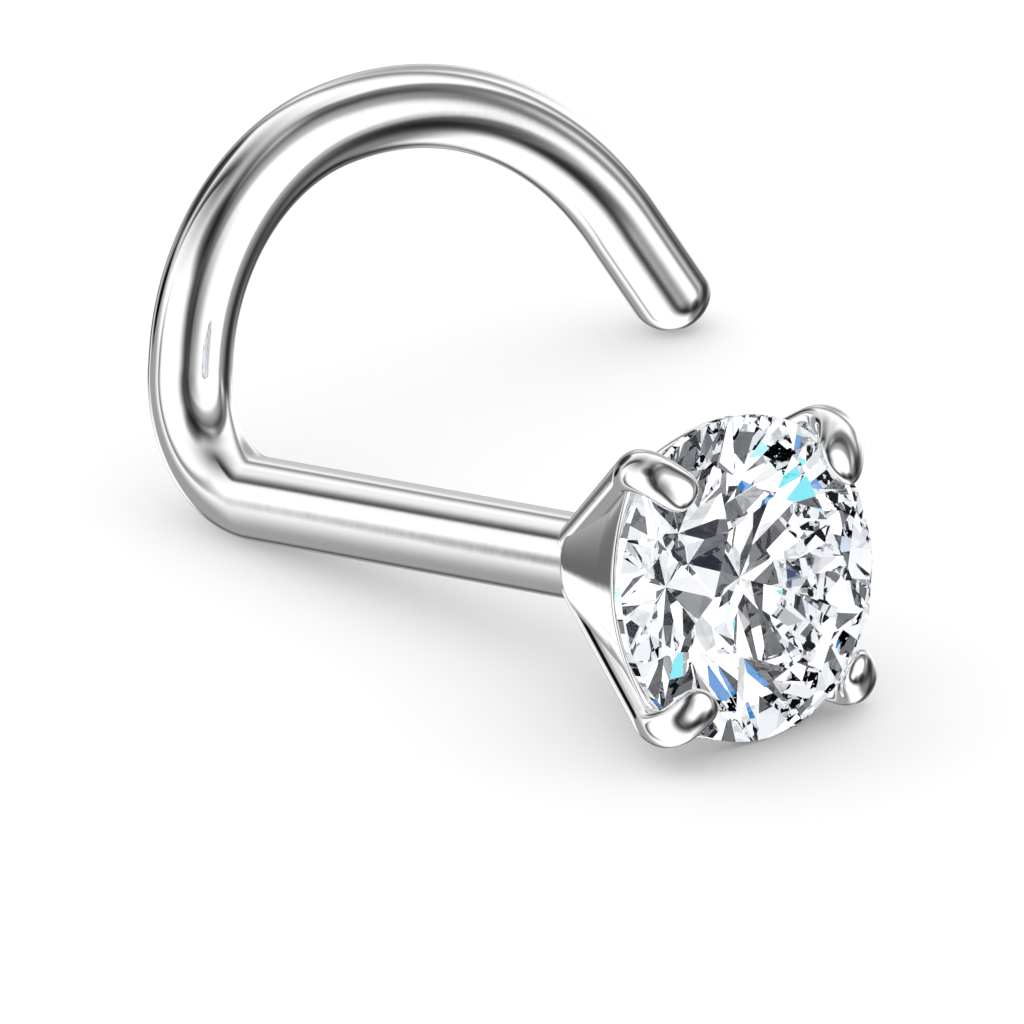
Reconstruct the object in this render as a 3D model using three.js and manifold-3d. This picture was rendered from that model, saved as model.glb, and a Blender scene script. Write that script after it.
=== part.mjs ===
// Nose stud: a nostril screw, with a four-claw setting and one round brilliant stone.
// One wire is straight as a post, turns a right angle and curls into an open hook.
// The setting is soldered to the post's front end, so wire and setting are one solid.
//
// Lengths are millimetres and angles are degrees. There are two frames inside the model.
// The wire frame has its origin at the corner of the bend, +X along the post to the stone,
// and the curl in its YZ plane. The setting frame has its origin at the middle of the
// stone's girdle and +X along the stone's axis, out through the table.
// At the end the stud is turned as it lies by itself, with +Z up, on three points:
// the tip of the curl, the underside of the bend and the lowest claw of the setting.

import * as THREE from "three";
import { ConvexGeometry } from "three/addons/geometries/ConvexGeometry.js";
import { mergeVertices } from "three/addons/utils/BufferGeometryUtils.js";
import Module from "manifold-3d";

// The wire
const wireDiameter = 0.8;
const postLength = 5.9; // from the corner of the bend to the root of the setting
const bendRadius = 1.12; // of the wire's middle line, as all the radii of the wire are
const curlHeading = 99.4; // way the wire leaves the bend, from +Y to +Z
const riseLength = 0.12; // straight, between the bend and the curl
const crestRadius = 2.25; // the tighter first arc of the curl
const crestTurn = 71.5;
const fallRadius = 3.64; // the wider second arc
const fallTurn = 64;
const endLength = 0.99; // straight, up to the round end
const wireInSetting = 1 / 3; // share of the setting's depth that the wire runs on inside it
const domeFootWidth = 0.8; // foot of the round end inside the wire, as shares of its radius
const domeFootDepth = 0.5;

// The stone, a round brilliant
const stoneDiameter = 3.0;
const tableDiameter = 1.6;
const crownAngle = 34.5;
const pavilionAngle = 39.5;
const girdleThickness = 0.1; // at the corners between the main facets
const facetFolds = 8; // main facets round the crown, and round the pavilion
const starShare = 0.55; // where the star facets end, from the table's edge to the girdle
const lowerShare = 0.2; // where the lower halves end, from the culet to the girdle
const facetTurn = 18; // of all its facets round its axis

// The setting
const settingDepth = 2.1; // from the girdle's middle back to the root of the cup
const settingLean = 3.2; // of the stone's axis off the post's line
const leanSide = 135; // way that the stone's axis leans, from +Y to +Z
const neckLength = 0.2; // where the cup's root swells out of the post
const neckSwell = 0.18; // how far the root stands out of the post's surface
const rimInset = 0.06; // how far the cup's rim stays inside the stone's girdle
const rimDrop = 0.22; // how far the cup's outer edge ends behind the girdle's middle
const rimEdge = 0.06; // height of the plain edge above that
const seatClearance = 0.02; // between the stone and all of its metal
const clawWidth = 0.42;
const clawThickness = 0.32;
const clawFootBack = 0.15; // how far behind the cup's root a claw starts
const clawFootSink = 0.06; // how deep its foot lies under the post's surface there
const clawBendRadius = 0.28; // of the claw's middle line, over the girdle
const clawReach = 0.18; // straight end over the crown, up to the round tip
const clawBite = 0.005; // how far the claw's back is notched by the seat

// The neck's curve out of the post, from just under its surface to the cup's root:
// back is a share of neckLength behind the root, and swell a share of neckSwell
const neckCurve = [
  { back: 1, swell: -0.1 },
  { back: 0.75, swell: 0.4 },
  { back: 0.4, swell: 0.7 },
  { back: 0, swell: 1 },
];

// Which way each claw stands from the middle of the stone, from +Y to +Z
const claws = [
  { side: "upper right", turn: 65 },
  { side: "upper left", turn: 152 },
  { side: "lower left", turn: 245 },
  { side: "lower right", turn: 332 },
];

// How the stud lies by itself
const roughUp = [0.1, -0.4, 0.9]; // way up in the wire frame, near enough to start from
const layRounds = 20;
const tipReach = 1.6; // how far round the tip, and round the bend's corner, it may touch
const bendReach = 2.24;

// How finely the round forms are cut
const wireSides = 24;
const wireSteps = 80;
const domeRows = 5;
const cupSides = 48;
const clawSides = 14;
const clawSteps = 26;
const girdleSides = 64;
const mergeReach = 1e-5; // corners closer than this are one

const wireRadius = wireDiameter / 2;
const stoneRadius = stoneDiameter / 2;
const tableRadius = tableDiameter / 2;
const rad = THREE.MathUtils.degToRad;

const wasm = await Module();
wasm.setup();

// An arc in space: it starts at centre + radius * out, runs towards along and turns by turn.
class ArcCurve extends THREE.Curve {
  constructor(centre, out, along, radius, turn) {
    super();
    this.centre = centre;
    this.out = out;
    this.along = along;
    this.radius = radius;
    this.turn = turn;
  }
  getPoint(share, target = new THREE.Vector3()) {
    const angle = share * this.turn;
    return target
      .copy(this.centre)
      .addScaledVector(this.out, this.radius * Math.cos(angle))
      .addScaledVector(this.along, this.radius * Math.sin(angle));
  }
}

// A line that is drawn like a pen: it keeps its point and heading, and adds lines and arcs.
class PenPath {
  constructor(start, heading) {
    this.point = start.clone();
    this.heading = heading.clone().normalize();
    this.path = new THREE.CurvePath();
  }
  line(length) {
    const end = this.point.clone().addScaledVector(this.heading, length);
    this.path.add(new THREE.LineCurve3(this.point.clone(), end));
    this.point = end;
  }
  // Turns by turn radians towards side, a direction square to the heading.
  arc(side, radius, turn) {
    const centre = this.point.clone().addScaledVector(side, radius);
    const out = side.clone().negate();
    const arc = new ArcCurve(centre, out, this.heading.clone(), radius, turn);
    this.path.add(arc);
    this.point = arc.getPoint(1);
    this.heading = this.heading
      .clone()
      .multiplyScalar(Math.cos(turn))
      .addScaledVector(side, Math.sin(turn));
  }
}

// A direction in the YZ plane at an angle from +Y to +Z.
function acrossPost(degrees) {
  return new THREE.Vector3(0, Math.cos(rad(degrees)), Math.sin(rad(degrees)));
}

function solidOf(geometry) {
  const bare = geometry.clone();
  bare.deleteAttribute("normal");
  bare.deleteAttribute("uv");
  const merged = mergeVertices(bare, mergeReach);
  return new wasm.Manifold(
    new wasm.Mesh({
      numProp: 3,
      vertProperties: merged.attributes.position.array,
      triVerts: new Uint32Array(merged.index.array),
    }),
  );
}

function geometryOf(solid) {
  const mesh = solid.getMesh();
  const positions = new THREE.BufferAttribute(mesh.vertProperties, mesh.numProp);
  const geometry = new THREE.BufferGeometry().setAttribute("position", positions);
  geometry.setIndex(new THREE.BufferAttribute(mesh.triVerts, 1));
  geometry.computeVertexNormals();
  return geometry;
}

// A profile of [radius, place along the axis] rows, turned round +X.
function turnedRoundX(rows, sides) {
  const points = rows.map(([radius, along]) => new THREE.Vector2(radius, along));
  return new THREE.LatheGeometry(points, sides).rotateZ(-Math.PI / 2);
}

function sweptEllipse(path, width, thickness, sides, steps) {
  const section = new THREE.Shape();
  section.absellipse(0, 0, width / 2, thickness / 2, 0, 2 * Math.PI);
  return new THREE.ExtrudeGeometry(section, {
    extrudePath: path,
    steps,
    curveSegments: sides / 2,
  });
}

// The wire in its own frame, from inside the setting to the round end of the curl.
function makeWire() {
  const heading = new THREE.Vector3(-1, 0, 0);
  const rise = acrossPost(curlHeading);
  const inward = acrossPost(curlHeading - 90);
  const start = new THREE.Vector3(postLength + settingDepth * wireInSetting, 0, 0);
  const pen = new PenPath(start, heading);
  pen.line(start.x - bendRadius);
  pen.arc(rise, bendRadius, Math.PI / 2);
  pen.line(riseLength);
  pen.arc(inward, crestRadius, rad(crestTurn));
  pen.arc(acrossPost(curlHeading - crestTurn - 90), fallRadius, rad(fallTurn));
  pen.line(endLength);
  const rod = sweptEllipse(pen.path, wireDiameter, wireDiameter, wireSides, wireSteps);
  return { solid: solidOf(rod).add(endDome(pen)), tip: pen.point };
}

// The round end: a half ball whose foot tapers inside the wire.
function endDome(pen) {
  const foot = -wireRadius * domeFootDepth;
  const rows = [
    [0, foot],
    [wireRadius * domeFootWidth, foot],
  ];
  for (let row = 0; row <= domeRows; row += 1) {
    const angle = (row / domeRows) * (Math.PI / 2);
    rows.push([wireRadius * Math.cos(angle), wireRadius * Math.sin(angle)]);
  }
  rows[rows.length - 1][0] = 0;
  const dome = turnedRoundX(rows, wireSides);
  const turn = new THREE.Quaternion().setFromUnitVectors(new THREE.Vector3(1, 0, 0), pen.heading);
  dome.applyQuaternion(turn).translate(pen.point.x, pen.point.y, pen.point.z);
  return solidOf(dome);
}

// Places of the stone's corners, each as a radius and a place along the axis.
// The facets run out to a knife edge past the girdle, and the girdle's cylinder cuts them there.
function stoneCorners() {
  const crownSlope = Math.tan(rad(crownAngle));
  const pavilionSlope = Math.tan(rad(pavilionAngle));
  const edgeRadius = stoneRadius + girdleThickness / (crownSlope + pavilionSlope);
  const halfStep = Math.cos(Math.PI / facetFolds);
  const starRadius = tableRadius + (edgeRadius - tableRadius) * starShare;
  const lowerRadius = edgeRadius * lowerShare;
  return {
    table: { radius: tableRadius, along: (edgeRadius - tableRadius) * crownSlope },
    star: { radius: starRadius, along: (edgeRadius - starRadius * halfStep) * crownSlope },
    edge: { radius: edgeRadius, along: 0 },
    lower: { radius: lowerRadius, along: -(edgeRadius - lowerRadius * halfStep) * pavilionSlope },
    culet: { radius: 0, along: -edgeRadius * pavilionSlope },
  };
}

function cornerRing(corner, count, shift) {
  const ring = [];
  for (let index = 0; index < count; index += 1) {
    const angle = (2 * Math.PI * (index + shift)) / count;
    ring.push(
      new THREE.Vector3(
        corner.along,
        corner.radius * Math.cos(angle),
        corner.radius * Math.sin(angle),
      ),
    );
  }
  return ring;
}

// The stone in the setting frame: table, stars, kites and upper halves on the crown,
// lower halves and mains on the pavilion, and a round girdle.
function makeStone() {
  const corners = stoneCorners();
  const faceted = new ConvexGeometry([
    ...cornerRing(corners.table, facetFolds, 0),
    ...cornerRing(corners.star, facetFolds, 0.5),
    ...cornerRing(corners.edge, 2 * facetFolds, 0),
    ...cornerRing(corners.lower, facetFolds, 0.5),
    new THREE.Vector3(corners.culet.along, 0, 0),
  ]);
  faceted.rotateX(rad(facetTurn));
  const length = 2 * stoneDiameter;
  const girdle = new THREE.CylinderGeometry(stoneRadius, stoneRadius, length, girdleSides);
  girdle.rotateZ(Math.PI / 2);
  return solidOf(faceted).intersect(solidOf(girdle));
}

// The room that the stone takes in the metal: its corners turned round, with the clearance.
function makeSeat() {
  const { table, star, lower, culet } = stoneCorners();
  const halfGirdle = girdleThickness / 2;
  const rows = [
    [0, culet.along - 2 * seatClearance],
    [lower.radius + seatClearance, lower.along - seatClearance],
    [stoneRadius + seatClearance, -halfGirdle - seatClearance],
    [stoneRadius + seatClearance, halfGirdle + seatClearance],
    [star.radius + seatClearance, star.along + seatClearance],
    [table.radius + seatClearance, table.along + seatClearance],
    [0, table.along + seatClearance],
  ];
  return solidOf(turnedRoundX(rows, cupSides));
}

// The cup in the setting frame: it swells out of the post, opens as a cone and ends in a rim.
function makeCup() {
  const rimRadius = stoneRadius - rimInset;
  const neck = neckCurve.map(({ back, swell }) => [
    wireRadius + neckSwell * swell,
    -settingDepth - neckLength * back,
  ]);
  const rows = [
    [0, -settingDepth - neckLength],
    ...neck,
    [rimRadius, -rimDrop],
    [rimRadius, -rimDrop + rimEdge],
    [0, -rimDrop + rimEdge],
  ];
  return solidOf(turnedRoundX(rows, cupSides));
}

// One claw in the setting frame, in the plane of +X and +Z, then turned round +X to its way.
// It runs straight from inside the post, bends over the girdle and lies along the crown.
function makeClaw(degrees) {
  const half = clawThickness / 2;
  const bendCentre = stoneRadius - clawBite + half - clawBendRadius;
  const foot = new THREE.Vector3(
    -settingDepth - clawFootBack,
    0,
    wireRadius - half - clawFootSink,
  );
  const lean = leanOfTangent(foot, bendCentre, clawBendRadius);
  const heading = new THREE.Vector3(Math.cos(lean), 0, Math.sin(lean));
  const side = new THREE.Vector3(Math.sin(lean), 0, -Math.cos(lean));
  const bendStart = new THREE.Vector3(0, 0, bendCentre).addScaledVector(side, -clawBendRadius);
  const pen = new PenPath(foot, heading);
  pen.line(foot.distanceTo(bendStart));
  pen.arc(side, clawBendRadius, lean + Math.PI / 2 - rad(crownAngle));
  pen.line(clawReach);
  const rod = sweptEllipse(pen.path, clawWidth, clawThickness, clawSides, clawSteps);
  const tip = new THREE.SphereGeometry(half, clawSides, clawSides / 2);
  tip.scale(1, clawWidth / clawThickness, 1).translate(pen.point.x, pen.point.y, pen.point.z);
  const turn = rad(degrees - 90);
  return solidOf(rod.rotateX(turn)).add(solidOf(tip.rotateX(turn)));
}

// Lean off the axis of the line from the foot that just touches the outside of the claw's bend.
function leanOfTangent(foot, bendCentre, radius) {
  const along = -foot.x;
  const across = bendCentre - foot.z;
  const distance = Math.hypot(along, across);
  return Math.atan2(across, along) + Math.asin(radius / distance);
}

// The setting frame, placed in the wire frame and leaned at the cup's root.
function placeSetting() {
  const axis = acrossPost(leanSide - 90);
  const root = new THREE.Group();
  root.position.set(postLength, 0, 0);
  root.setRotationFromAxisAngle(axis, rad(-settingLean));
  const girdle = new THREE.Group();
  girdle.position.set(settingDepth, 0, 0);
  root.add(girdle);
  root.updateMatrixWorld(true);
  return { root, girdle };
}

function makeScrew(settingMatrix) {
  const { solid, tip } = makeWire();
  let head = makeCup();
  for (const claw of claws) head = head.add(makeClaw(claw.turn));
  const placed = head.subtract(makeSeat()).transform(settingMatrix.toArray());
  const room = makeSeat().transform(settingMatrix.toArray());
  return { solid: solid.subtract(room).add(placed), tip };
}

// Turn that lays the stud down: the plane under the tip, the bend and the setting is found
// again and again until its three lowest points stay the same.
function layDown(positions, tip) {
  const near = { tip: [], bend: [], setting: [] };
  const point = new THREE.Vector3();
  for (let index = 0; index < positions.count; index += 1) {
    point.fromBufferAttribute(positions, index);
    if (point.distanceTo(tip) < tipReach) near.tip.push(point.clone());
    if (point.length() < bendReach) near.bend.push(point.clone());
    if (point.x > postLength) near.setting.push(point.clone());
  }
  let up = new THREE.Vector3(...roughUp).normalize();
  for (let round = 0; round < layRounds; round += 1) {
    const [a, b, c] = [near.tip, near.bend, near.setting].map((points) =>
      points.reduce((low, next) => (next.dot(up) < low.dot(up) ? next : low)),
    );
    const normal = b.clone().sub(a).cross(c.clone().sub(a)).normalize();
    up = normal.dot(up) < 0 ? normal.negate() : normal;
  }
  const post = new THREE.Vector3(1, 0, 0);
  const ahead = post.addScaledVector(up, -post.dot(up)).normalize();
  const left = up.clone().cross(ahead);
  const lying = new THREE.Matrix4().makeBasis(ahead, left, up).transpose();
  return new THREE.Quaternion().setFromRotationMatrix(lying);
}

const steel = new THREE.MeshStandardMaterial({ color: 0xd4d6d8, metalness: 1, roughness: 0.12 });
const clearStone = new THREE.MeshStandardMaterial({ color: 0xf2f6fa, metalness: 0, roughness: 0.02 });

const { root: settingRoot, girdle: settingFrame } = placeSetting();
const screw = makeScrew(settingFrame.matrixWorld);

const screwMesh = new THREE.Mesh(geometryOf(screw.solid), steel);
screwMesh.name = "screw_post_with_setting";

const stoneMesh = new THREE.Mesh(geometryOf(makeStone()), clearStone);
stoneMesh.name = "stone";
settingFrame.add(stoneMesh);

const lyingStud = new THREE.Group();
lyingStud.add(screwMesh, settingRoot);
lyingStud.quaternion.copy(layDown(screwMesh.geometry.attributes.position, screw.tip));

// The stud's origin is the middle of the underside of its box.
const box = new THREE.Box3().setFromObject(lyingStud, true);
const middle = box.getCenter(new THREE.Vector3());
lyingStud.position.set(-middle.x, -middle.y, -box.min.z);

const noseStud = new THREE.Group();
noseStud.name = "nose_stud";
noseStud.add(lyingStud);

export default noseStud;
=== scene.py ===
import math

import bpy
import numpy as np
from mathutils import Matrix, Vector


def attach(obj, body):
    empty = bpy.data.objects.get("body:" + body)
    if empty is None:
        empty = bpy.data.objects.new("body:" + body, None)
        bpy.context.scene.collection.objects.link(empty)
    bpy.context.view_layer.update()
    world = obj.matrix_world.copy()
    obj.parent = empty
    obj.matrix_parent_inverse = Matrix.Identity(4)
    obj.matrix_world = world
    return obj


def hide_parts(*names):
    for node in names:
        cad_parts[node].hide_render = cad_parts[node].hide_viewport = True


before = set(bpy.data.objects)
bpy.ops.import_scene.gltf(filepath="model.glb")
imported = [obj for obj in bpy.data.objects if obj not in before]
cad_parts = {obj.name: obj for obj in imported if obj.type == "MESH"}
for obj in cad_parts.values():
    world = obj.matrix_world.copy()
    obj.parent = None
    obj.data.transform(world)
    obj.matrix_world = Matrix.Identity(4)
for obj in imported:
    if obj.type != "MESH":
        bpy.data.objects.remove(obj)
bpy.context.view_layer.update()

mm = 0.001  # every length below is in millimetres, and is made metres when its mesh is made


def unit(vectors):
    return vectors / np.linalg.norm(vectors, axis=-1, keepdims=True)


# The camera

cameraView = dict(
    place=(140.70, -124.77, 75.65),  # mm
    aim=(2.265, -3.850, 2.043),
    roll=2.60,  # degrees, the right side dips
    lens=761.68,  # mm, as is the sensor's width
    sensor=36,
    near=0.01,  # m, and so is the far limit of what is seen
    far=20,
)


def makeCamera(view):
    data = bpy.data.cameras.new("photoCamera")
    data.lens = view["lens"]
    data.sensor_width = view["sensor"]
    data.clip_start = view["near"]
    data.clip_end = view["far"]
    camera = bpy.data.objects.new("photoCamera", data)
    bpy.context.scene.collection.objects.link(camera)
    place, aim = Vector(view["place"]) * mm, Vector(view["aim"]) * mm
    turn = (aim - place).to_track_quat("-Z", "Y").to_matrix().to_4x4()
    camera.matrix_world = (
        Matrix.Translation(place) @ turn @ Matrix.Rotation(-math.radians(view["roll"]), 4, "Z")
    )
    bpy.context.scene.camera = camera
    print("camera made")


makeCamera(cameraView)


# Small helpers for node trees

def addMath(tree, operation, first, second=None, third=None):
    node = tree.nodes.new("ShaderNodeMath")
    node.operation = operation
    for socket, value in zip(node.inputs, (first, second, third)):
        if value is None:
            continue
        if isinstance(value, (int, float)):
            socket.default_value = value
        else:
            tree.links.new(value, socket)
    return node.outputs[0]


def smoothStep(tree, value, low, high, start=0.0, end=1.0):
    node = tree.nodes.new("ShaderNodeMapRange")
    node.interpolation_type = "SMOOTHSTEP"
    tree.links.new(value, node.inputs["Value"])
    node.inputs["From Min"].default_value = low
    node.inputs["From Max"].default_value = high
    node.inputs["To Min"].default_value = start
    node.inputs["To Max"].default_value = end
    return node.outputs["Result"]


# The studio: a white room all round, with soft dark cards that the polished metal mirrors.
# A card lies round its way (azimuth and elevation in degrees), from its inner edge to its outer
# one. An edge is an angle from the way and a softness, and a card with no inner edge is a whole
# disc. Where a card has a window (azimuth, elevation, edge and softness), it is dark only within
# it, and where it has a hole, it isn't dark there.

studio = dict(
    white=1.12,  # how bright the white room is
    contrast=2.2,  # how much deeper the cards are in the light itself than in the picture
    floorWhite=0.97,
    floorRadius=600,  # mm
    floorSides=96,
    cards=[
        dict(way=(5, 25), inner=(40, 35), outer=(52, 5), depth=0.85, window=(180, -8, 135, 5)),
        dict(way=(12, 20), inner=(60, 10), outer=(72, 15), depth=1.0, window=(-110, -25, 125, 30)),
        dict(way=(125, -10), inner=(40, 5), outer=(46, 10), depth=0.7, hole=(165, -18, 17, 3)),
        dict(way=(163, -15), inner=(58, 2), outer=(63, 10), depth=1.0, window=(-50, 0, 88, 3)),
        dict(way=(-85, 17), inner=(67, 3), outer=(75, 15), depth=1.0, window=(-150, 40, 20, 12)),
        dict(way=(-115, -10), inner=(50, 2), outer=(65, 5), depth=0.9, window=(-175, 0, 10, 3)),
        dict(way=(10, 10), inner=(30, 10), outer=(60, 15), depth=1.0, window=(-55, 20, 15, 40)),
        dict(way=(175, 18), outer=(12, 4), depth=0.7),
        dict(way=(175, -20), outer=(40, 9), depth=0.4, hole=(165, -20, 14, 3)),
        dict(way=(164, -24), inner=(5, 1), outer=(16, 9), depth=0.6, window=(162, -15, 10, 3)),
        dict(way=(70, -30), outer=(30, 8), depth=0.5),
        dict(way=(-78, 56), outer=(14, 8), depth=0.5),
        dict(way=(160, 0), inner=(84, 4), outer=(98, 7), depth=0.54, window=(75, 22, 52, 12)),
        dict(way=(112, -38), outer=(16, 6), depth=0.6),
        dict(way=(35, -30), outer=(10, 5), depth=0.55),
        dict(way=(10, -35), outer=(12, 10), depth=0.6),
        dict(way=(128, 14), outer=(14, 8), depth=0.35),
        dict(way=(-155, 60), outer=(5, 40), depth=1.0),
    ],
    stoneWhite=1.4,  # how bright the stone's own room is
    stoneBackdrop=(0.66, 0.67, 0.69),
    stoneCardSoft=1,  # degrees
    stoneCards=[
        dict(way=(-28, 22), radius=50, colour="white"),
        dict(way=(-114, 6), radius=9, colour="navy"),
        dict(way=(-44, 35), radius=5, colour="blue"),
        dict(way=(-26, 30), radius=4, colour="cyan"),
        dict(way=(-39, 11), radius=5, colour="black"),
        dict(way=(-8, 23), radius=4, colour="black"),
        dict(way=(-22, 10), radius=4, colour="black"),
        dict(way=(-28, -10), radius=8, colour="ink"),
        dict(way=(-44, -14), radius=7, colour="ink"),
        dict(way=(-64, 4), radius=8, colour="black"),
        dict(way=(-18, 46), radius=7, colour="black"),
        dict(way=(-75, -45), radius=16, colour="ink"),
        dict(way=(-60, 44), radius=6, colour="black"),
        dict(way=(-28, 21), radius=4, colour="black"),
        dict(way=(-14, 8), radius=4, colour="black"),
        dict(way=(6, 0), radius=7, colour="black"),
        dict(way=(14, -4), radius=7, colour="ink"),
        dict(way=(13, 28), radius=8, colour="ink"),
        dict(way=(-3, 14), radius=4, colour="black"),
        dict(way=(-3, -15), radius=6, colour="black"),
        dict(way=(-31, 47), radius=6, colour="black"),
        dict(way=(-48, 18), radius=6, colour="black"),
        dict(way=(21, 69), radius=7, colour="ink"),
        dict(way=(40, 56), radius=7, colour="ink"),
        dict(way=(39, 33), radius=6, colour="ink"),
        dict(way=(45, 8), radius=8, colour="black"),
        dict(way=(24, 5), radius=6, colour="ink"),
        dict(way=(-45, -45), radius=8, colour="black"),
        dict(way=(-33, -33), radius=7, colour="black"),
        dict(way=(5, -45), radius=8, colour="ink"),
        dict(way=(27, -57), radius=8, colour="black"),
        dict(way=(-4, 34), radius=3, colour="black"),
        dict(way=(25, 45), radius=6, colour="ink"),
        dict(way=(167, -36), radius=11, colour="black"),
        dict(way=(174, -62), radius=14, colour="ink"),
        dict(way=(130, 34), radius=8, colour="ink"),
        dict(way=(180, 10), radius=18, colour="black"),
        dict(way=(115, -20), radius=12, colour="black"),
        dict(way=(-150, -20), radius=20, colour="black"),
        dict(way=(-160, 60), radius=14, colour="ink"),
    ],
    colours=dict(
        white=(1, 1, 1),
        ink=(0.02, 0.023, 0.032),
        black=(0.005, 0.005, 0.008),
        navy=(0.05, 0.08, 0.16),
        blue=(0.03, 0.2, 0.5),
        cyan=(0.12, 0.62, 0.7),
    ),
)


def angleFrom(tree, direction, way):
    azimuth, elevation = math.radians(way[0]), math.radians(way[1])
    axis = (
        math.cos(elevation) * math.cos(azimuth),
        math.cos(elevation) * math.sin(azimuth),
        math.sin(elevation),
    )
    dot = tree.nodes.new("ShaderNodeVectorMath")
    dot.operation = "DOT_PRODUCT"
    tree.links.new(direction, dot.inputs[0])
    dot.inputs[1].default_value = axis
    angle = addMath(tree, "ARCCOSINE", dot.outputs["Value"])
    return addMath(tree, "MULTIPLY", angle, 180 / math.pi)


def within(tree, angle, edge, soft):
    return smoothStep(tree, angle, edge - soft, edge + soft, 1, 0)


def beyond(tree, angle, edge, soft):
    return smoothStep(tree, angle, edge - soft, edge + soft)


# The stone's room is one plain backdrop with round coloured cards laid over it in turn.

def stoneRoomColour(tree, direction, studio):
    shown = tree.nodes.new("ShaderNodeRGB").outputs[0]
    shown.default_value = (*studio["stoneBackdrop"], 1)
    for card in studio["stoneCards"]:
        angle = angleFrom(tree, direction, card["way"])
        disc = within(tree, angle, card["radius"], studio["stoneCardSoft"])
        mix = tree.nodes.new("ShaderNodeMixRGB")
        tree.links.new(disc, mix.inputs["Fac"])
        tree.links.new(shown, mix.inputs["Color1"])
        mix.inputs["Color2"].default_value = (*studio["colours"][card["colour"]], 1)
        shown = mix.outputs["Color"]
    return shown


# Each card leaves one less its depth times its darkness. The room is as bright as all of these
# multiplied, to the power of the contrast.

def roomBrightness(tree, direction, studio):
    bright = None
    for card in studio["cards"]:
        angle = angleFrom(tree, direction, card["way"])
        dark = within(tree, angle, *card["outer"])
        if "inner" in card:
            dark = addMath(tree, "MULTIPLY", beyond(tree, angle, *card["inner"]), dark)
        for kind, keptPart in (("window", within), ("hole", beyond)):
            if kind in card:
                azimuth, elevation, edge, soft = card[kind]
                angle = angleFrom(tree, direction, (azimuth, elevation))
                dark = addMath(tree, "MULTIPLY", dark, keptPart(tree, angle, edge, soft))
        left = addMath(tree, "MULTIPLY_ADD", dark, -card["depth"], 1.0)
        bright = left if bright is None else addMath(tree, "MULTIPLY", bright, left)
    return addMath(tree, "POWER", bright, studio["contrast"])


# Rays that the metal mirrors see the dark cards, rays through the stone see its own room, and
# all others see plain white.

def makeRoom(studio):
    world = bpy.data.worlds.new("studio")
    bpy.context.scene.world = world
    world.use_nodes = True
    tree = world.node_tree
    tree.nodes.clear()
    direction = tree.nodes.new("ShaderNodeTexCoord").outputs["Generated"]
    rays = tree.nodes.new("ShaderNodeLightPath")

    def background(bright, strength):
        node = tree.nodes.new("ShaderNodeBackground")
        node.inputs["Strength"].default_value = strength
        node.inputs["Color"].default_value = (1, 1, 1, 1)
        if bright is not None:
            tree.links.new(bright, node.inputs["Color"])
        return node.outputs[0]

    def chosen(rayKind, other, shown):
        node = tree.nodes.new("ShaderNodeMixShader")
        tree.links.new(rays.outputs[rayKind], node.inputs[0])
        tree.links.new(other, node.inputs[1])
        tree.links.new(shown, node.inputs[2])
        return node.outputs[0]

    metalRoom = background(roomBrightness(tree, direction, studio), studio["white"])
    stoneRoom = background(stoneRoomColour(tree, direction, studio), studio["stoneWhite"])
    room = chosen("Is Glossy Ray", background(None, studio["white"]), metalRoom)
    room = chosen("Is Transmission Ray", room, stoneRoom)
    out = tree.nodes.new("ShaderNodeOutputWorld")
    tree.links.new(room, out.inputs["Surface"])
    print("room made")


# The floor is a flat disc, its edge the cosine and sine of the turn times the radius.

def makeFloor(studio):
    mesh = bpy.data.meshes.new("floor")
    angles = np.linspace(0, 2 * math.pi, studio["floorSides"], endpoint=False)
    ring = np.stack([np.cos(angles), np.sin(angles), 0 * angles], 1) * studio["floorRadius"] * mm
    mesh.from_pydata(ring.tolist(), [], [list(range(len(ring)))])
    floor = bpy.data.objects.new("floor", mesh)
    bpy.context.scene.collection.objects.link(floor)
    floor.visible_glossy = False
    floor.visible_transmission = False
    material = bpy.data.materials.new("floorPaper")
    material.use_nodes = True
    shader = material.node_tree.nodes["Principled BSDF"]
    grey = studio["floorWhite"]
    shader.inputs["Base Color"].default_value = (grey, grey, grey, 1)
    shader.inputs["Roughness"].default_value = 1
    shader.inputs["Specular IOR Level"].default_value = 0
    mesh.materials.append(material)
    print("floor made")


makeRoom(studio)
makeFloor(studio)
bpy.context.scene.view_settings.view_transform = "Standard"
bpy.context.scene.cycles.max_bounces = 24
bpy.context.scene.cycles.glossy_bounces = 16
bpy.context.scene.cycles.transmission_bounces = 20


# Where the parts of the stud lie. The wire frame has its origin at the corner of the bend,
# x along the post to the stone, and the curl in its yz plane.

lying = dict(corner=(-3.9087, -2.5451, 0.2623), pitch=7.967, roll=-24.503)


def wireFrame(lying):
    pitch, roll = math.radians(lying["pitch"]), math.radians(lying["roll"])
    ahead = np.array([math.cos(pitch), 0, math.sin(pitch)])
    left = np.array([0, 1.0, 0])
    top = np.cross(ahead, left)
    turned = math.cos(roll) * left + math.sin(roll) * top
    axes = np.stack([ahead, turned, np.cross(ahead, turned)], 1)
    return axes, np.array(lying["corner"])


def acrossPost(degrees):
    angle = math.radians(degrees)
    return np.array([0, math.cos(angle), math.sin(angle)])


def placed(points, axes, origin):
    return points @ axes.T + origin


# A grid of points becomes a mesh. Its rows close round, and its first and last row can be
# one point each, so that both poles are shut.

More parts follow.
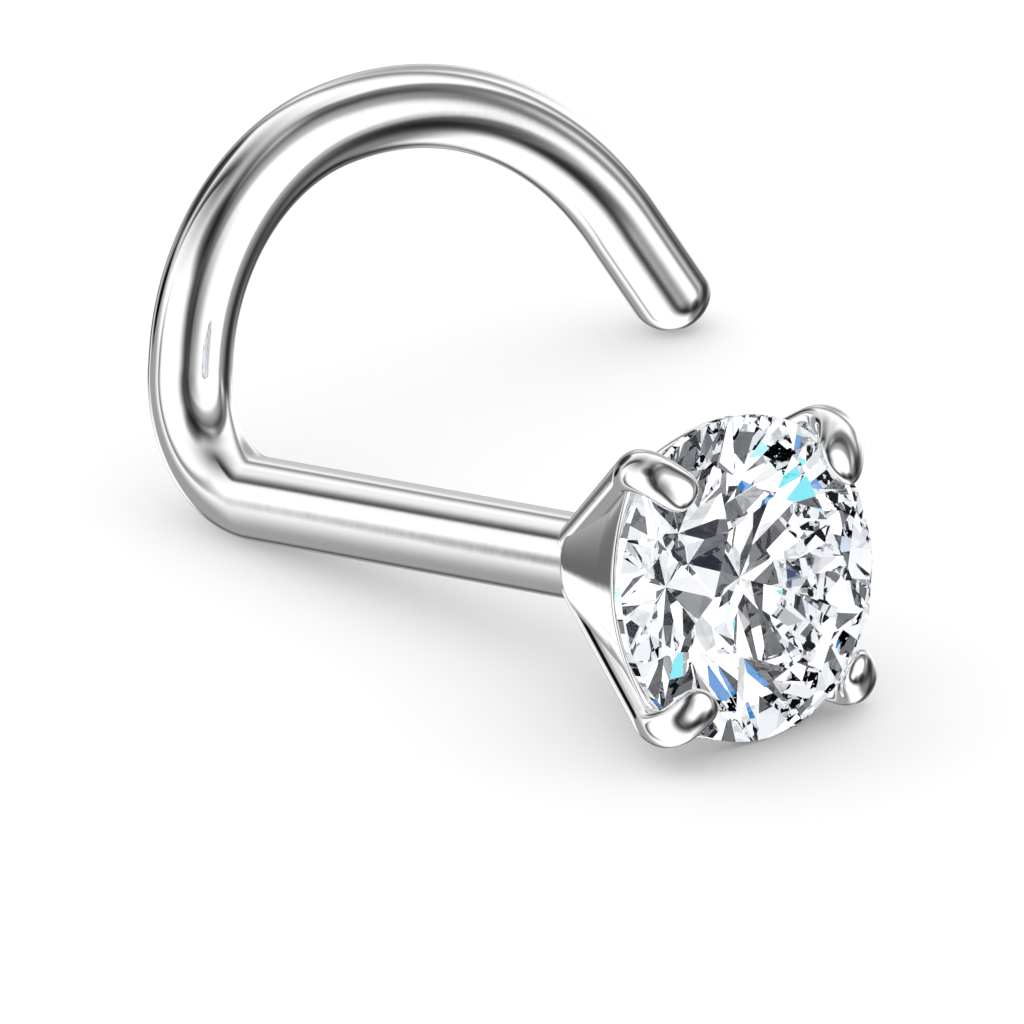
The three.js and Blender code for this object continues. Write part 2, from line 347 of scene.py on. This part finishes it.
def gridMesh(name, grid, material, closedEnds=True):
    rows, columns = grid.shape[:2]
    row, column = np.meshgrid(np.arange(rows - 1), np.arange(columns), indexing="ij")
    following = (column + 1) % columns
    faces = np.stack(
        [
            row * columns + column,
            row * columns + following,
            (row + 1) * columns + following,
            (row + 1) * columns + column,
        ],
        -1,
    ).reshape(-1, 4)
    vertices = grid.reshape(-1, 3)
    if closedEnds:  # each pole's ring is one point, and its faces are triangles
        keep = np.arange(len(vertices))
        keep[:columns] = 0
        keep[-columns:] = (rows - 1) * columns
        faces = keep[faces]
        used, faces = np.unique(faces, return_inverse=True)
        faces = faces.reshape(-1, 4)
        vertices = vertices[used]
    corners = vertices[faces]
    volume = np.einsum(
        "ij,ij->", corners[:, 0], np.cross(corners[:, 1], corners[:, 2])
    ) + np.einsum("ij,ij->", corners[:, 0], np.cross(corners[:, 2], corners[:, 3]))
    if volume < 0:  # its faces pointed inwards
        faces = faces[:, ::-1]
    top = faces[:, 0] == faces[:, 1]
    low = faces[:, 2] == faces[:, 3]
    lists = faces[~top & ~low].tolist() + faces[top][:, [0, 2, 3]].tolist() + faces[low][:, :3].tolist()
    mesh = bpy.data.meshes.new(name)
    mesh.from_pydata((vertices * mm).tolist(), [], lists)
    mesh.polygons.foreach_set("use_smooth", [True] * len(mesh.polygons))
    mesh.update()
    piece = bpy.data.objects.new(name, mesh)
    bpy.context.scene.collection.objects.link(piece)
    mesh.materials.append(material)
    return piece


# The materials

# Polished steel: its roughness drifts a little with a soft noise, a fine noise ripples it, and
# a noise drawn out along the post leaves faint handling scratches.

steelLook = dict(
    colour=(0.93, 0.935, 0.94),
    smooth=0.03,  # roughness where the polish is best
    dull=0.075,  # and where it is worn
    driftSpan=(0.3, 0.75),  # the noise's values that are smooth and dull
    drift=900,  # all three noises are counted per metre
    driftDetail=3,
    ripple=5200,
    scratch=(700, 14000, 14000),
    fineDetail=2,
    rippleDepth=0.03,
    scratchDepth=0.015,
    bumpHeight=0.00001,  # m
)


def addNoise(tree, place, scale, detail, stretch=None):
    if stretch is not None:
        mapping = tree.nodes.new("ShaderNodeMapping")
        tree.links.new(place, mapping.inputs["Vector"])
        mapping.inputs["Scale"].default_value = stretch
        place = mapping.outputs["Vector"]
    noise = tree.nodes.new("ShaderNodeTexNoise")
    tree.links.new(place, noise.inputs["Vector"])
    noise.inputs["Scale"].default_value = scale
    noise.inputs["Detail"].default_value = detail
    return noise.outputs["Fac"]


def makePolishedSteel(look):
    material = bpy.data.materials.new("polishedSteel")
    material.use_nodes = True
    tree = material.node_tree
    shader = tree.nodes["Principled BSDF"]
    shader.inputs["Metallic"].default_value = 1
    shader.inputs["Base Color"].default_value = (*look["colour"], 1)
    place = tree.nodes.new("ShaderNodeTexCoord").outputs["Object"]
    drift = addNoise(tree, place, look["drift"], look["driftDetail"])
    roughness = smoothStep(tree, drift, *look["driftSpan"], look["smooth"], look["dull"])
    tree.links.new(roughness, shader.inputs["Roughness"])
    ripple = addNoise(tree, place, look["ripple"], look["fineDetail"])
    scratch = addNoise(tree, place, 1, look["fineDetail"], look["scratch"])
    normal = None
    for height, depth in ((ripple, look["rippleDepth"]), (scratch, look["scratchDepth"])):
        bump = tree.nodes.new("ShaderNodeBump")
        bump.inputs["Strength"].default_value = depth
        bump.inputs["Distance"].default_value = look["bumpHeight"]
        tree.links.new(height, bump.inputs["Height"])
        if normal is not None:
            tree.links.new(normal, bump.inputs["Normal"])
        normal = bump.outputs["Normal"]
    tree.links.new(normal, shader.inputs["Normal"])
    return material


# The stone bends the light that enters it and mirrors the room only faintly from outside, and
# from inside its facets are glass, so that they mirror wholly where the light meets them flatly.

clearStoneLook = dict(
    index=2.42,
    sheen=0.015,  # share of the light that the outside mirrors
    sheenRoughness=0.02,
    clear=(1, 1, 1),
    tint=(0.99, 0.995, 1),
    drift=700,  # the tint comes and goes with a soft noise, counted per metre
    driftDetail=2,
)


def makeClearStone(look):
    material = bpy.data.materials.new("clearStone")
    material.use_nodes = True
    tree = material.node_tree
    tree.nodes.clear()
    place = tree.nodes.new("ShaderNodeTexCoord").outputs["Object"]
    tint = tree.nodes.new("ShaderNodeMixRGB")
    tree.links.new(addNoise(tree, place, look["drift"], look["driftDetail"]), tint.inputs["Fac"])
    tint.inputs["Color1"].default_value = (*look["clear"], 1)
    tint.inputs["Color2"].default_value = (*look["tint"], 1)

    def addShader(kind, roughness):
        node = tree.nodes.new(kind)
        tree.links.new(tint.outputs["Color"], node.inputs["Color"])
        node.inputs["Roughness"].default_value = roughness
        return node

    def mixed(share, first, second):
        node = tree.nodes.new("ShaderNodeMixShader")
        if isinstance(share, float):
            node.inputs[0].default_value = share
        else:
            tree.links.new(share, node.inputs[0])
        tree.links.new(first.outputs[0], node.inputs[1])
        tree.links.new(second.outputs[0], node.inputs[2])
        return node

    bending = addShader("ShaderNodeBsdfRefraction", 0.0)
    bending.inputs["IOR"].default_value = look["index"]
    sheen = addShader("ShaderNodeBsdfAnisotropic", look["sheenRoughness"])
    inside = addShader("ShaderNodeBsdfGlass", 0.0)
    inside.inputs["IOR"].default_value = look["index"]
    outside = mixed(look["sheen"], bending, sheen)
    backfacing = tree.nodes.new("ShaderNodeNewGeometry").outputs["Backfacing"]
    whole = mixed(backfacing, outside, inside)
    out = tree.nodes.new("ShaderNodeOutputMaterial")
    tree.links.new(whole.outputs[0], out.inputs["Surface"])
    return material


polishedSteel = makePolishedSteel(steelLook)
clearStone = makeClearStone(clearStoneLook)
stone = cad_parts["stone"]
stone.data.materials.clear()
stone.data.materials.append(clearStone)


# The wire

wire = dict(
    radius=0.4,
    postLength=5.9,
    bendRadius=1.12,
    curlHeading=99.4,
    rise=0.12,  # short straight length after the bend
    crestRadius=2.25,
    crestTurn=71.5,
    fallRadius=3.64,
    fallTurn=64,
    end=0.99,  # straight length up to the tip
    insideSetting=0.7,
    sides=96,
    step=0.05,  # mm between rings
    leastSteps=3,
    capRings=16,
    rootBulge=0.5,  # how far the end in the setting bulges, as a share of the radius
)
tiny = 1e-6  # a heading whose part across the post is under this lies along it


# Middle line of the wire as places and headings: straight post, round bend, short rise, then
# two arcs that curl over and a straight end. On an arc the place is the centre plus the radius
# times the cosine outwards and the sine along.

def wirePath(wire):
    place = np.array([wire["postLength"] + wire["insideSetting"], 0, 0.0])
    heading = np.array([-1.0, 0, 0])
    curl = wire["curlHeading"]
    rise, inward = acrossPost(curl), acrossPost(curl - 90)
    falling = acrossPost(curl - 90 - wire["crestTurn"])
    stretches = [
        (None, place[0] - wire["bendRadius"], 0),
        (rise, wire["bendRadius"], math.pi / 2),
        (None, wire["rise"], 0),
        (inward, wire["crestRadius"], math.radians(wire["crestTurn"])),
        (falling, wire["fallRadius"], math.radians(wire["fallTurn"])),
        (None, wire["end"], 0),
    ]
    places, headings = [], []
    for side, size, turn in stretches:
        length = size if side is None else size * turn
        count = max(wire["leastSteps"], int(math.ceil(length / wire["step"])))
        share = np.linspace(0, 1, count + 1)[:, None]
        if side is None:
            points = place + heading * size * share
            ways = np.repeat(heading[None], count + 1, 0)
        else:
            angle = share * turn
            points = place + side * size - side * size * np.cos(angle) + heading * size * np.sin(angle)
            ways = heading * np.cos(angle) + side * np.sin(angle)
        places.append(points[:-1])
        headings.append(ways[:-1])
        place, heading = points[-1], ways[-1]
    places.append(place[None])
    headings.append(heading[None])
    return np.concatenate(places), np.concatenate(headings)


# Each ring of the wire is the middle line plus radius times cosine and sine across it. At both
# ends the rings go out as the sine of the angle round a half ball and shrink as its cosine.

def makeWire(wire, material):
    places, headings = wirePath(wire)
    radius = wire["radius"]
    cap = np.linspace(0, math.pi / 2, wire["capRings"] + 1)[1:]
    start = places[0] - headings[0] * radius * wire["rootBulge"] * np.sin(cap)[::-1, None]
    end = places[-1] + headings[-1] * radius * np.sin(cap)[:, None]
    sizes = np.concatenate([np.cos(cap)[::-1], np.ones(len(places)), np.cos(cap)]) * radius
    places = np.concatenate([start, places, end])
    headings = np.concatenate(
        [np.repeat(headings[:1], len(cap), 0), headings, np.repeat(headings[-1:], len(cap), 0)]
    )
    post = np.array([1.0, 0, 0])
    across = np.cross(post, headings)
    onPost = np.linalg.norm(across, axis=1) < tiny
    across[onPost] = np.cross(post, acrossPost(wire["curlHeading"]))
    across = unit(across)
    other = np.cross(headings, across)
    angle = np.linspace(0, 2 * math.pi, wire["sides"], endpoint=False)
    grid = (
        places[:, None]
        + sizes[:, None, None]
        * (
            np.cos(angle)[None, :, None] * across[:, None]
            + np.sin(angle)[None, :, None] * other[:, None]
        )
    )
    axes, origin = wireFrame(lying)
    return gridMesh("wire", placed(grid, axes, origin), material)


wirePiece = makeWire(wire, polishedSteel)
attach(wirePiece, "root")
print("wire made")


# The setting. Its frame has its origin at the middle of the stone's girdle and x out through
# the table. It leans a little off the post's line, round the root of the cup.

setting = dict(
    depth=2.1,  # from the girdle back to the root
    lean=3.2,
    leanSide=135,
    claws=(64, 152, 245, 332),  # way that each claw stands, from y to z
    clawSizes=(1.3, 1, 1, 1),  # the first is the stoutest
    rootX=-2.12,  # where the cup's round shoulder leaves the post
    rootRadius=0.38,
    shoulderLength=0.3,
    shoulderHeight=0.12,
    rimX=-0.12,  # where the cup's outer face ends
    rimRadius=1.48,
    rimRound=0.05,
    seatX=-0.1,
    seatRadius=1.46,
    seatDepth=-1.4,
    hollow=2.5,  # power of the hollow between two claws
    edgeShare=0.9,  # of a claw's half width, where the hollow face meets it
    edgeFrom=0.4,  # the least radius at which that edge is worked out
    rimTurn=144,  # degrees that the rim turns inwards
    faceRows=90,
    faceCrowding=1.3,  # power that crowds the face's rows to the root
    rimRows=8,
    seatRows=24,
    columns=480,
)

claw = dict(
    rootCentre=(-1.93, 0.1),  # of the middle line's first bend, out of the post
    rootBend=0.3,
    rootHeading=85,  # degrees off the axis
    bendCentre=(0, 1.375),  # of its second bend, over the girdle
    bendRadius=0.28,
    crownAngle=34.5,
    reach=0.03,
    tipLength=0.33,
    back=0.15,  # height of the round back over the middle line
    inner=0.14,  # depth of the inner side under it
    footWidth=0.16,  # half widths
    width=0.215,
    crease=-0.06,  # height over the middle line where the cup's face meets it
    sides=40,
    rootRows=20,
    legRows=38,
    overRows=30,
    reachRows=5,
    tipRows=18,
)


# From the setting's frame to the scene's: the lean round the cup's root, then the wire's frame.

def settingPlaced(points):
    axis = Vector(acrossPost(setting["leanSide"] - 90))
    turn = np.array(Matrix.Rotation(-math.radians(setting["lean"]), 3, axis))
    root = np.array([wire["postLength"], 0, 0])
    inWire = placed(points + np.array([setting["depth"], 0, 0]), turn, root)
    return placed(inWire, *wireFrame(lying))


# Lean of the straight line that touches both bends of a claw from outside: the way from the one
# middle to the other, less the angle whose sine is the radii's difference over their distance.

def clawLean(claw):
    between = np.subtract(claw["bendCentre"], claw["rootCentre"])
    difference = claw["rootBend"] - claw["bendRadius"]
    return math.atan2(between[1], between[0]) - math.asin(difference / np.linalg.norm(between))


# The cup is a round shoulder that opens into a cone: its radius is the root's, plus a quarter
# ellipse over the shoulder's length, plus a slope times the way along. Between two claws it
# grows from the middle of the face to the claw's side as a power of the share of the way, so
# that the face is hollow and ends in a crisp crease. The rim turns in on a small arc, its places
# going by the sine and the cosine of the turn, and inside it a plain cone is the seat.

def basketGrid(setting, claw):
    x = np.linspace(0, 1, setting["faceRows"]) ** setting["faceCrowding"]
    x = setting["rootX"] + (setting["rimX"] - setting["rootX"]) * x
    along = x - x[0]
    opened = setting["rimRadius"] - setting["rootRadius"] - setting["shoulderHeight"]
    left = 1 - np.minimum(along / setting["shoulderLength"], 1)
    middle = setting["rootRadius"] + setting["shoulderHeight"] * np.sqrt(1 - left**2)
    middle += along * opened / along[-1]
    turns = np.linspace(0, math.radians(setting["rimTurn"]), setting["rimRows"] + 1)[1:]
    half = setting["rimRound"] / 2
    rimX = x[-1] + half * (np.sin(turns) + turns / (2 * math.pi))
    rimR = middle[-1] - half * (1 - np.cos(turns))
    seatX = np.linspace(setting["seatX"], setting["seatDepth"], setting["seatRows"])
    seatR = setting["seatRadius"] * (seatX - seatX[-1]) / (seatX[0] - seatX[-1])
    rowX = np.concatenate([x[:1], x, rimX, seatX])
    rowR = np.concatenate([[0], middle, rimR, seatR])
    outer = np.concatenate([[0], np.ones(len(x)), np.linspace(1, 0, len(rimX)), 0 * seatX])
    lean = clawLean(claw)
    foot = claw["rootCentre"] + claw["rootBend"] * np.array([-math.sin(lean), math.cos(lean)])
    level = foot[1] + (np.minimum(rowX, setting["seatX"]) - foot[0]) * math.tan(lean)
    level += claw["crease"] / math.cos(lean)
    turn = np.linspace(0, 2 * math.pi, setting["columns"], endpoint=False)
    ways = np.radians(setting["claws"])
    apart = np.abs((turn[:, None] - ways[None] + math.pi) % (2 * math.pi) - math.pi)
    nearest, nextOne = np.sort(apart, 1)[:, :2].T
    half = (nearest + nextOne) / 2
    edge = claw["width"] * setting["edgeShare"]
    edgeTurn = (edge / np.maximum(level, setting["edgeFrom"]))[:, None]
    share = np.clip((half - nearest)[None] / (half[None] - edgeTurn), 0, 1) ** setting["hollow"]
    radius = rowR[:, None] + (outer * np.maximum(level - rowR, 0))[:, None] * share
    return np.stack(np.broadcast_arrays(rowX[:, None], radius * np.cos(turn), radius * np.sin(turn)), -1)


# A claw is a round bar. Its middle line bends out of the post, leans along the cup, bends over
# the girdle and lies down the crown. Its section is two half ellipses, a high one for the back
# and a lower one for the inner side. To the tip its height shrinks as the root of one less the
# square of the share of the way, and its width with the fourth power, so that the tip is blunt.

def clawGrid(way, size, claw):
    lean = clawLean(claw)
    down = math.radians(claw["crownAngle"] - 90)

    def bend(centre, radius, first, last, count):
        turns = np.linspace(first, last, count)
        outwards = np.stack([-np.sin(turns), np.cos(turns)], 1)
        return np.array(centre) + outwards * radius, turns

    def inBetween(count):
        return np.linspace(0, 1, count + 2)[1:-1, None]

    rootHeading = math.radians(claw["rootHeading"])
    rootLine, rootTurns = bend(
        claw["rootCentre"], claw["rootBend"], rootHeading, lean, claw["rootRows"]
    )
    overLine, overTurns = bend(claw["bendCentre"], claw["bendRadius"], lean, down, claw["overRows"])
    heading = np.array([math.cos(down), math.sin(down)])
    legLine = rootLine[-1] + (overLine[0] - rootLine[-1]) * inBetween(claw["legRows"])
    reachLine = overLine[-1] + heading * claw["reach"] * inBetween(claw["reachRows"])
    tipShare = np.sin(np.linspace(0, math.pi / 2, claw["tipRows"]))
    tipLine = overLine[-1] + heading * (claw["reach"] + claw["tipLength"] * size * tipShare[:, None])
    middle = np.concatenate([rootLine, legLine, overLine, reachLine, tipLine])
    turns = np.concatenate(
        [
            rootTurns,
            np.full(len(legLine), lean),
            overTurns,
            np.full(len(reachLine) + len(tipLine), down),
        ]
    )
    lower = np.ones(len(middle))
    narrower = np.ones(len(middle))
    lower[-len(tipShare):] = np.sqrt(np.maximum(1 - tipShare**2, 0))
    narrower[-len(tipShare):] = np.sqrt(np.maximum(1 - tipShare**4, 0))
    rising = len(rootLine) + len(legLine)
    width = np.full(len(middle), claw["width"] * size)
    width[:rising] = np.linspace(claw["footWidth"], claw["width"] * size, rising)
    angle = np.linspace(0, 2 * math.pi, claw["sides"], endpoint=False)
    high = np.where(np.sin(angle) > 0, claw["back"] * size, claw["inner"]) * np.sin(angle)
    sideways = (width * narrower)[:, None] * np.cos(angle)
    heights = lower[:, None] * high
    outs = np.stack([-np.sin(turns), np.cos(turns)], 1)
    flat = middle[:, None] + heights[..., None] * outs[:, None]
    turn = math.radians(way)
    grid = np.stack(
        [
            flat[..., 0],
            flat[..., 1] * math.cos(turn) - sideways * math.sin(turn),
            flat[..., 1] * math.sin(turn) + sideways * math.cos(turn),
        ],
        -1,
    )
    foot = grid[:1].mean(1, keepdims=True) * np.ones((1, grid.shape[1], 1))
    return np.concatenate([foot, grid])


basket = gridMesh("basket", settingPlaced(basketGrid(setting, claw)), polishedSteel)
clawPieces = [
    gridMesh(f"claw_{number}", settingPlaced(clawGrid(way, size, claw)), polishedSteel)
    for number, (way, size) in enumerate(zip(setting["claws"], setting["clawSizes"]), 1)
]
for piece in (basket, *clawPieces):
    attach(piece, "root")
for piece in (wirePiece, basket, *clawPieces):
    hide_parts("screw_post_with_setting")
    piece.visible_glossy = False  # the metal mirrors the room alone, as in a retouched picture
    piece.visible_transmission = False  # and so do the stone's facets
print("setting made")
